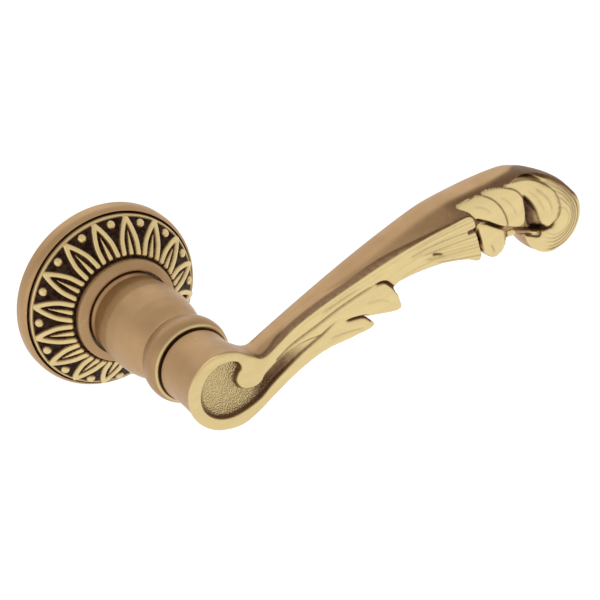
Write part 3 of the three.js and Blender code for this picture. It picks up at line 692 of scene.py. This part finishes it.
# line, depth, half width, darkness, and the shares of its length between which it is whole
STRIP_GROOVES = [
    ([[15.0, 0.2], [20, 2.0], [28, 3.4], [34, 4.5], [40, 5.2], [46, 5.5], [52, 5.2]],
     0.45, 0.45, 0.4, (0.0, 0.7)),
    ([[26, 5.6], [32, 6.2], [38, 6.8], [46, 7.4]], 0.2, 0.5, 0.25, (0.3, 0.6)),
    ([[24, -1.0], [28.5, 0.2], [33, 1.6], [38, 2.4]], 0.45, 0.45, 0.5, (0.0, 0.3)),
    ([[34, 0.4], [38.0, -0.4], [40.4, -1.2], [41.6, -2.4], [42.2, -3.4]],
     1.0, 0.42, 1.0, (0.35, 1.0)),
    ([[44, 5.6], [48.0, 4.9], [49.6, 3.3], [50.7, 1.0], [51.0, 0.0]], 1.0, 0.42, 1.0, (0.35, 1.0)),
    ([[28, -1.8], [34, -2.6], [41, -4.4]], 0.22, 0.4, 0.25, (0.3, 0.8)),
    ([[40, 2.4], [46, 0.8], [49.6, -2.4]], 0.16, 0.6, 0.15, (0.3, 0.7)),
    ([[62.8, 5.2], [64.2, 4.5], [67, 3.0]], 0.5, 0.35, 0.8, (0.1, 0.5)),
    ([[20, 4.7], [28, 6.4], [38, 7.8], [50, 8.8], [60, 9.2]], 0.14, 0.22, 0.22, (0.1, 0.8)),
    ([[25, 4.4], [34, 6.0], [44, 7.1], [54, 7.7]], 0.12, 0.2, 0.18, (0.2, 0.8)),
    ([[42, 3.9], [50, 5.6], [57, 6.5], [64, 6.6]], 0.13, 0.22, 0.2, (0.2, 0.8)),
    ([[52, 3.7], [59, 3.8], [66, 2.9], [72, 1.4]], 0.14, 0.25, 0.24, (0.1, 0.8)),
    ([[30, 2.4], [37, 3.6], [45, 3.9]], 0.12, 0.22, 0.16, (0.2, 0.7)),
    ([[22, -3.4], [28, -3.0], [35, -3.4]], 0.12, 0.22, 0.16, (0.2, 0.8)),
]
FLUTE_COUNT = 12
# how far the height is carried past the outline, and over what distance it is averaged
SPREAD_REACH = 2.2
SOFT_REACH = 0.2
# line, depth, half width, and the shares of its length between which it is whole
SLITS = [
    ([[77.6, 7.4], [80.4, 5.2], [84, 1.9], [88, -0.6], [92, -2.9], [95.4, -4.9], [98, -5.5],
      [101.4, -3.8]], 1.3, 0.36, (0.0, 0.85)),
    ([[76.9, 5.6], [77.3, 1.5], [77.4, -0.8], [78.4, -3.4]], 1.4, 0.36, (0.0, 0.8)),
    ([[74.4, 5.2], [75.8, 5.1], [77.0, 4.8]], 0.7, 0.6, (0.0, 1.0)),
    ([[86.2, -2.6], [89.6, -3.4], [92.6, -5.4]], 0.6, 0.3, (0.3, 1.0)),
    ([[79.8, -0.6], [80.6, -3.0], [80.4, -4.8]], 0.25, 0.4, (0.3, 0.6)),
    ([[95.4, 8.4], [98.2, 4.2], [99.2, 0.0], [98.6, -2.6]], 0.22, 0.4, (0.3, 0.7)),
    ([[92.4, 9.2], [95.6, 5.4], [97.2, 1.0], [97.4, -2.4]], 0.16, 0.4, (0.3, 0.7)),
    ([[84.0, 11.4], [87.0, 8.4], [88.8, 4.6], [89.0, 1.0]], 0.16, 0.4, (0.3, 0.7)),
    ([[76.6, 11.8], [80.2, 9.6], [82.6, 6.4]], 0.16, 0.4, (0.3, 0.7)),
    ([[93.0, -3.6], [95.0, -4.3], [97.4, -5.3]], 1.6, 0.7, (0.2, 0.7)),
]


def flutes():
    """Fine grooves that fan out over the last part of the strip, no two quite alike."""
    for k in range(FLUTE_COUNT):
        start = [52 + 0.9 * k, 9.2 - 0.5 * k]
        middle = [66, 9.5 - 0.8 * k + 0.12 * math.sin(k * 2.3)]
        end = [76.8, 8.9 - 1.12 * k + 0.15 * math.sin(k * 1.7)]
        depth = 0.24 + 0.06 * math.sin(k * 3.1)
        shade = 0.3 + 0.12 * math.sin(k * 2.7)
        yield [start, middle, end], depth, 0.24, shade, (0.25 + 0.15 * math.sin(k * 1.3), 1.0)


def crowned(edge, level, rise, reach):
    """Raised form: level at its outline, swelling by rise within reach of the edge."""
    return level + rise * (1 - np.exp(np.clip(edge, -40, 0) / reach))


def bell(offset, half):
    """One where the offset is nothing, falling away over half a width."""
    return np.exp(-((offset / half) ** 2))


class Relief:
    """The carved front as it is laid up: height u, outline distance, creases and dark places."""

    def __init__(self, sheet):
        self.sheet = sheet
        self.X, self.Z = sheet.X, sheet.Z
        self.strip = sheet.shape(STRIP)
        self.volute = sheet.shape(VOLUTE)
        self.hollow = sheet.shape(HOLLOW)
        self.level = np.full_like(self.X, FRONT)
        self.known = self.strip < 0.05
        self.outline = self.strip.copy()
        self.crease = np.zeros_like(self.X)
        self.dark = np.zeros_like(self.X)
        self.skin = self.bar_front()

    def bar_front(self):
        """Front of the smooth bar, which the end of the carving lies on."""
        middle, half, depth, centre = [v[:, None] for v in arm_section(self.sheet.x)]
        rise = np.clip((self.Z - middle) / half, 0, 0.995)
        return centre + depth * (1 - rise ** SECTION_BACK) ** (1 / SECTION_FRONT)

    def stroke(self, points, half, fade):
        """One where a smooth line runs, falling to nothing half a width away and at faded ends."""
        away, share = self.sheet.to_line(spline(points, False, 10))
        start = smoothstep(-0.001, fade[0] + 1e-3, share)
        end = 1 - smoothstep(fade[1] - 1e-3, 1.001, share)
        return bell(away, half) * start * end

    def carve_strip(self):
        """Flat band round the drum that turns into overlapping leaves."""
        X, Z = self.X, self.Z
        top = crowned(self.strip, FRONT - 0.1, 0.4, 0.45)
        cuts = np.zeros_like(X)
        for points, depth, half, shade, fade in [*STRIP_GROOVES, *flutes()]:
            line = self.stroke(points, half, fade)
            cuts = np.maximum(cuts, depth * line)
            self.dark = np.maximum(self.dark, shade * smoothstep(0.25, 0.9, line))
        top = top - cuts
        # the middle leaf rises over the first, and dips to the channel
        top = top + 0.35 * smoothstep(30, 46, X) * smoothstep(5, -1, Z) * smoothstep(53, 50, X)
        self.level = np.where(self.strip < 0, self.sink_volute(top), FRONT)

    def sink_volute(self, top):
        """Sinks the volute's field, shallower where it runs out along the arm."""
        floor = FRONT - VOLUTE_DEPTH + 1.1 * smoothstep(13, 28, self.X)
        wall = smoothstep(-0.3, 0.0, self.volute)
        eye = np.hypot(self.X - VOLUTE_EYE[0], self.Z - VOLUTE_EYE[1])
        swell = 0.3 * np.clip(1 - (eye / 3.9) ** 2, 0, 1) * wall
        return floor * (1 - wall) + top * wall + swell

    def add_scroll(self):
        """Domed end scroll with its rings, and the band that wraps over it."""
        X = self.X
        across, up = X - SCROLL_CENTRE[0], self.Z - SCROLL_CENTRE[1]
        away = np.hypot(across, up)
        self.turn = np.arctan2(up, across)
        self.scroll = np.minimum(away - SCROLL_RADIUS, self.sheet.shape(WRAP))
        dome = FRONT + 0.9 - 1.5 * np.clip(away / SCROLL_RADIUS, 0, 1.2) ** 4
        dome = dome + (self.skin + 0.35 - dome) * smoothstep(102, 96, X) * smoothstep(7, 10, away)
        fade = smoothstep(2.7, 1.6, np.abs(self.turn + 0.7)) * smoothstep(94, 99, X)
        rings = np.zeros_like(X)
        for inset, depth in SCROLL_RINGS:
            drift = inset + 0.25 * np.sin(self.turn * 1.5 + inset)
            rings = np.maximum(rings, depth * bell(self.scroll + drift, 0.22) * fade)
        at_end = X > SCROLL_FROM
        self.dark = np.maximum(self.dark, rings * 1.5 * (self.scroll < 0) * at_end)
        inside = (self.scroll < 0.05) & at_end
        self.level = np.where(inside, dome - rings, self.level)
        self.known = self.known | inside
        self.outline = np.where(at_end, np.minimum(self.outline, self.scroll), self.outline)

    def lay(self, points, base, rise, reach, tilt, shade):
        """Lays one more raised form over what is there, with a crease round it."""
        edge = self.sheet.shape(points)
        middle = np.mean(points, axis=0)
        form = crowned(edge, base, rise, reach) + tilt * (self.X - middle[0])
        within = edge < 0
        around = smoothstep(0.42, 0.05, edge) * (self.outline < -0.1)
        self.level = np.where(within, form, self.level)
        self.known = self.known | (edge < 0.05)
        inner = 0.7 * smoothstep(-0.22, 0.0, edge)
        self.crease = np.where(within, inner, np.maximum(self.crease, shade * around))
        self.outline = np.minimum(self.outline, edge)

    def sink_hollow(self):
        """Deepens the hollow under the last two lobes, most on the side near the drum."""
        near = np.interp(self.Z, [-5, -1, 2, 6], [92.6, 91.6, 92.0, 91.8])
        self.far_side = smoothstep(1.0, 5.0, self.X - near)
        depth = 2.2 * smoothstep(0.1, -1.0, self.hollow) * (1 - 0.7 * self.far_side)
        sunk = np.minimum(self.level, FRONT + 0.6 - depth)
        self.level = np.where(self.hollow < 0.1, sunk, self.level)

    def cut_slits(self):
        """Sets the lobes on the rounded bar and cuts the deep lines between them."""
        lift = LOBE_RELIEF + 6 * smoothstep(97, 103, self.X)
        sunk = np.minimum(self.level, self.skin + lift)
        self.level = np.where(self.X > LOBES_FROM, sunk, self.level)
        for points, depth, half, fade in SLITS:
            line = self.stroke(points, half, fade)
            self.level = self.level - depth * line
            self.dark = np.maximum(self.dark, min(1, depth * 1.1) * smoothstep(0.2, 0.8, line))

    def patina_and_painted_shade(self):
        """Dark in creases and cuts, at the foot of the volute's wall and in its channel: patina, with
        painted shade along the hidden foot and in the hollow.
        """
        X, Z, volute = self.X, self.Z, self.volute
        lower = smoothstep(-2, -7, Z)
        under_eye = smoothstep(2.2, 4.4, X) * smoothstep(6.4, 4.6, X) * smoothstep(-1.5, 0.5, Z)
        foot = smoothstep(-0.75, -0.25, volute) * smoothstep(0.12, -0.1, volute)
        foot = foot * (0.55 + 0.3 * np.maximum(lower, under_eye)) * smoothstep(29, 24, X)
        # painted shade where the rim hides the foot of the volute on its left
        far_foot = 0.5 * bell(volute + 0.8, 0.3) * smoothstep(3, 0, X) * smoothstep(-7, -4, Z)
        middle = np.interp(X, [5, 8, 12, 16, 22, 28], [-7.4, -6.4, -4.6, -2.8, -1.0, 0.4])
        channel = smoothstep(-0.05, -0.4, volute) * smoothstep(5, 11, X) * smoothstep(27, 14, X)
        channel = channel * smoothstep(3.2, 1.4, np.abs(Z - middle)) * 0.6
        # painted shade in the hollow under the lobes, darkest on the side near the drum
        hollow = 0.85 * smoothstep(0.3, -0.4, self.hollow) * (1 - self.far_side)
        crease = self.crease * (X > LOBES_FROM + 1)
        return np.maximum.reduce([crease, self.dark, hollow, foot, far_foot, channel])

    def bar_painted_shade(self, lobes):
        """Painted shade, brown, on the bar beside the carving and on its end above the scroll."""
        X, Z = self.X, self.Z
        outside = np.clip(self.outline, 0, 9)
        along = np.interp(X, [46, 70, 78], [0, 0.42, 0.62])
        near = along * smoothstep(7.5, 0.5, outside) * (outside > 0) * (Z > 2)
        edge = np.where(X > 94, self.scroll, self.outline)
        end = 0.62 * smoothstep(89, 97, X) * smoothstep(-4, 1, Z) * smoothstep(-1.2, -0.6, edge)
        return np.maximum(near, end * smoothstep(-0.2, 0.6, lobes))

    def polish(self, lobes):
        """Bright on the carving, duller round the drum and on the end's rim over the scroll."""
        X = self.X
        band = np.maximum(smoothstep(-1.3, -0.7, self.scroll), smoothstep(96, 91, X))
        rim = band * smoothstep(-0.2, 0.4, self.turn) * smoothstep(0.05, 0.45, lobes)
        rim = rim * (X > SCROLL_FROM) * (1 - 0.6 * smoothstep(98, 103, X))
        return (1 - rim) * (1 - 0.14 * smoothstep(18, 9, X))

    def underside(self):
        """Height u where the carved plate stops and the bar or drum goes on."""
        low = 57.6 - 1.1 * smoothstep(72, 76, self.X)
        on_drum = smoothstep(14, 7, self.X) * smoothstep(-8, -4, self.Z)
        return low + 3.3 * on_drum * smoothstep(0.4, 0.8, self.volute)

    def masks(self):
        """Every mask on the sheet, with the two measures that shape the body behind it."""
        X, Z = self.X, self.Z
        field = smoothstep(-0.1, -0.4, self.volute) * smoothstep(15, 10, X)
        lobes = np.minimum(np.minimum(self.sheet.shape(LOBE_2), self.sheet.shape(LOBE_3)), 2.0)
        beside = bell(self.strip - 0.12, 0.3) * (Z > 1.0)
        beside = beside * smoothstep(8.5, 11, X) * smoothstep(78, 75, X)
        return {
            "dark_patina_and_shade": blurred(self.patina_and_painted_shade(), 1),
            "polish": self.polish(lobes),
            "stipple": field,
            "beside": beside,
            "bar_painted_shade": self.bar_painted_shade(lobes),
            "end": self.scroll,
            "low": self.underside(),
        }


def front_relief(sheet):
    """Height u of the carved front, its outline distance, and the masks that colour it."""
    relief = Relief(sheet)
    relief.carve_strip()
    relief.add_scroll()
    for points, base, rise, reach, tilt, shade in RAISED_FORMS:
        relief.lay(points, FRONT + base, rise, reach, tilt, shade)
    relief.sink_hollow()
    relief.cut_slits()
    level = spread(relief.level, relief.known, int(SPREAD_REACH / sheet.step))
    level = blurred(level, max(1, round(SOFT_REACH / sheet.step)))
    return level, relief.outline, relief.masks()


def smooth_min(a, b, k):
    """The smaller of two distances, with a fillet of about k where they meet."""
    h = np.clip(0.5 + 0.5 * (b - a) / k, 0, 1)
    return b + (a - b) * h - k * h * (1 - h)


def surface_net(field, origin, step):
    """Smooth quad surface of a 3-D field's zero level; the field is negative inside."""
    inside = field < 0
    shape = np.array(field.shape) - 1
    corners = [(i, j, k) for i in (0, 1) for j in (0, 1) for k in (0, 1)]

    def corner(values, c):
        return values[c[0]:c[0] + shape[0], c[1]:c[1] + shape[1], c[2]:c[2] + shape[2]]

    count = sum(corner(inside, c).astype(np.int8) for c in corners)
    active = (count > 0) & (count < 8)
    cells = np.argwhere(active)
    index = np.full(active.shape, -1, np.int64)
    index[active] = np.arange(len(cells))
    total = np.zeros((len(cells), 3))
    hits = np.zeros((len(cells), 1))
    for a in corners:
        for axis in range(3):
            if a[axis]:
                continue
            b = tuple(v + (k == axis) for k, v in enumerate(a))
            fa, fb = corner(field, a)[active], corner(field, b)[active]
            crossing = (fa < 0) != (fb < 0)
            t = np.where(crossing, fa / np.where(fa == fb, 1, fa - fb), 0)
            place = np.array(a, float) + t[:, None] * (np.array(b) - np.array(a))
            total += np.where(crossing[:, None], place, 0)
            hits += crossing[:, None]
    points = origin + (cells + total / hits) * step
    quads = []
    for axis in range(3):
        lo = [slice(1, -1)] * 3
        hi = [slice(1, -1)] * 3
        lo[axis], hi[axis] = slice(0, -1), slice(1, None)
        a, b = inside[tuple(lo)], inside[tuple(hi)]
        at = np.argwhere(a != b)
        if not len(at):
            continue
        flip = a[a != b]
        at = at + np.array([0 if k == axis else 1 for k in range(3)])
        p, q = [k for k in range(3) if k != axis]
        steps = np.zeros((4, 3), int)
        steps[1, p] = steps[2, p] = -1
        steps[2, q] = steps[3, q] = -1
        ring = np.stack([index[tuple((at + s).T)] for s in steps], 1)
        if axis == 1:
            flip = ~flip
        ring = np.where(flip[:, None], ring, ring[:, ::-1])
        quads.append(ring)
    quads = np.concatenate(quads)
    return points, quads[(quads >= 0).all(1)]


def relaxed(points, quads):
    """Points moved a little towards the middle of their neighbours."""
    total = np.zeros_like(points)
    count = np.zeros(len(points))
    for a, b in ((0, 1), (1, 2), (2, 3), (3, 0)):
        for here, there in ((a, b), (b, a)):
            beside = points[quads[:, there]]
            for axis in range(3):
                total[:, axis] += np.bincount(quads[:, here], beside[:, axis], len(points))
            count += np.bincount(quads[:, here], minlength=len(points))
    return points + 0.4 * (total / np.maximum(count, 1)[:, None] - points)


def bar_field(sheet, X, U, Z):
    """Rounded bar of the arm."""
    middle, half, depth, centre = [v[:, None, None] for v in arm_section(sheet.x)]
    du, dz = (U - centre) / depth, np.abs((Z - middle) / half)
    power = np.where(du > 0, SECTION_FRONT, SECTION_BACK)
    round_form = (np.abs(du) ** power + dz ** SECTION_BACK) ** (1 / SECTION_BACK) - 1
    bar = round_form * np.minimum(depth, half)
    return np.maximum(bar, np.maximum(BAR_START - X, X - BAR_END))


def drum_field(U, r):
    """Drum on the spindle axis with the tenon that enters the neck."""
    side = np.interp(U, DRUM_U, DRUM_RADIUS)
    drum = np.maximum(r - side, np.maximum(DRUM_BACK - U, U - FRONT + 0.3))
    tenon = np.maximum(r - TENON_RADIUS, np.maximum(TENON_BACK - U, U - 50))
    return np.minimum(drum, tenon)


def scroll_field(U, end):
    """Barrel-shaped body of the scrolled end, end being the distance to its outline."""
    swell = 0.35 - 0.035 * (U - 57.5) ** 2
    return -smooth_min(swell - end, np.minimum(U - 50.6, FRONT - 1.2 - U), 1.5)


def arm_field(sheet, u, level, outline, masks):
    """Distance field of the whole arm: the carved plate and the smooth body behind it."""
    X = sheet.x[:, None, None]
    U = u[None, :, None]
    Z = sheet.z[None, None, :]
    r = np.hypot(X, Z)
    flat_level = level[:, None, :]
    flat_edge = outline[:, None, :]
    plate = np.maximum((U - flat_level) * 0.8, flat_edge)
    plate = np.maximum(plate, masks["low"][:, None, :] - U)
    body = smooth_min(bar_field(sheet, X, U, Z), drum_field(U, r), DRUM_FILLET)
    body = smooth_min(body, scroll_field(U, masks["end"][:, None, :]), SCROLL_FILLET)
    # the body never stands in front of the carving
    outer = smoothstep(-0.35, 0.35, flat_edge)
    shown = (flat_level - 0.05) * (1 - outer) + (FRONT - 0.5) * outer
    body = -smooth_min(-body, (shown - U) * 0.8, 0.7)
    form = np.minimum(body, plate)
    # holes for the joint screw and the dowel, open towards the neck
    form = np.maximum(form, np.minimum(SCREW_HOLE[0] - r, SCREW_HOLE[1] - U))
    off_dowel = np.hypot(X - DOWEL_X, Z)
    return np.maximum(form, np.minimum(DOWEL_HOLE[0] - off_dowel, DOWEL_HOLE[1] - U))


def arm_masks(sheet, points, level, outline, masks):
    """The sheet's masks fading out behind the front, with painted shade on the bar and in the seam.
    """
    u = points[:, 1]
    behind = smoothstep(-1.0, -0.35, u - sheet.read(level, points))
    at_front = behind * smoothstep(0.3, 0.0, sheet.read(outline, points))
    shown = ("dark_patina_and_shade", "polish", "stipple")
    colour = {key: sheet.read(masks[key], points) * at_front for key in shown}
    # painted shade on the bar, kept to its front part
    start = np.interp(points[:, 0], [70, 84, 92, 98], [56.3, 57.3, 56, 51])
    upper = sheet.read(masks["bar_painted_shade"], points) * smoothstep(0, 2.5, u - start)
    line = sheet.read(masks["beside"], points) * smoothstep(59.0, 60.0, u)
    # painted shade in the gap at the back of the drum, against the neck
    seam = smoothstep(47.5, 47.2, u)
    colour["dark_patina_and_shade"] = np.maximum.reduce([colour["dark_patina_and_shade"], upper, 0.6 * line, 0.7 * seam])
    return colour


def lever_arm(material):
    """Drum, carved strip and scrolled end as one continuous surface."""
    sheet = Sheet(STEP)
    level, outline, masks = front_relief(sheet)
    u = np.arange(ARM_BACK, ARM_TOP, STEP)
    form = arm_field(sheet, u, level, outline, masks)
    origin = np.array([sheet.x[0], u[0], sheet.z[0]])
    points, quads = surface_net(form.astype(np.float32), origin, STEP)
    points = relaxed(points, quads)
    colour = arm_masks(sheet, points, level, outline, masks)
    piece = mesh_object("lever_arm_carved", points, quads, colour, material)
    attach(piece, "lever")
    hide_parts("lever_arm")


# ---- looks of the CAD nodes that stay -----------------------------------------------------------
def dress_cad_nodes():
    """Better materials on the nodes that keep their CAD shape."""
    steel = plated_steel("steel_plated", (0.55, 0.56, 0.58, 1), 0.32, 220)
    spring = plated_steel("steel_spring", (0.26, 0.27, 0.29, 1), 0.38, 300, (1, 6, 1))
    zinc = plated_steel("zinc_cast", (0.40, 0.41, 0.43, 1), 0.55, 120)
    nylon = moulded_nylon("nylon_moulded")
    looks = {"steel": steel, "spring_steel": spring, "zinc": zinc, "nylon": nylon}
    slots = {s["node"]: s["material_slot"] for s in frame["record"]["subparts"]}
    for node, piece in frame["nodes"].items():
        look = looks.get(slots[node])
        if look is None:
            continue
        if not piece.material_slots:
            piece.data.materials.append(look)
        for place in piece.material_slots:
            place.material = look


make_camera()
make_studio()
dress_cad_nodes()
rose_cover(antique_brass("brass_antique_cast"))
neck(antique_brass("brass_antique_turned", (1, 0.1, 1)))
lever_arm(antique_brass("brass_antique_carved"))
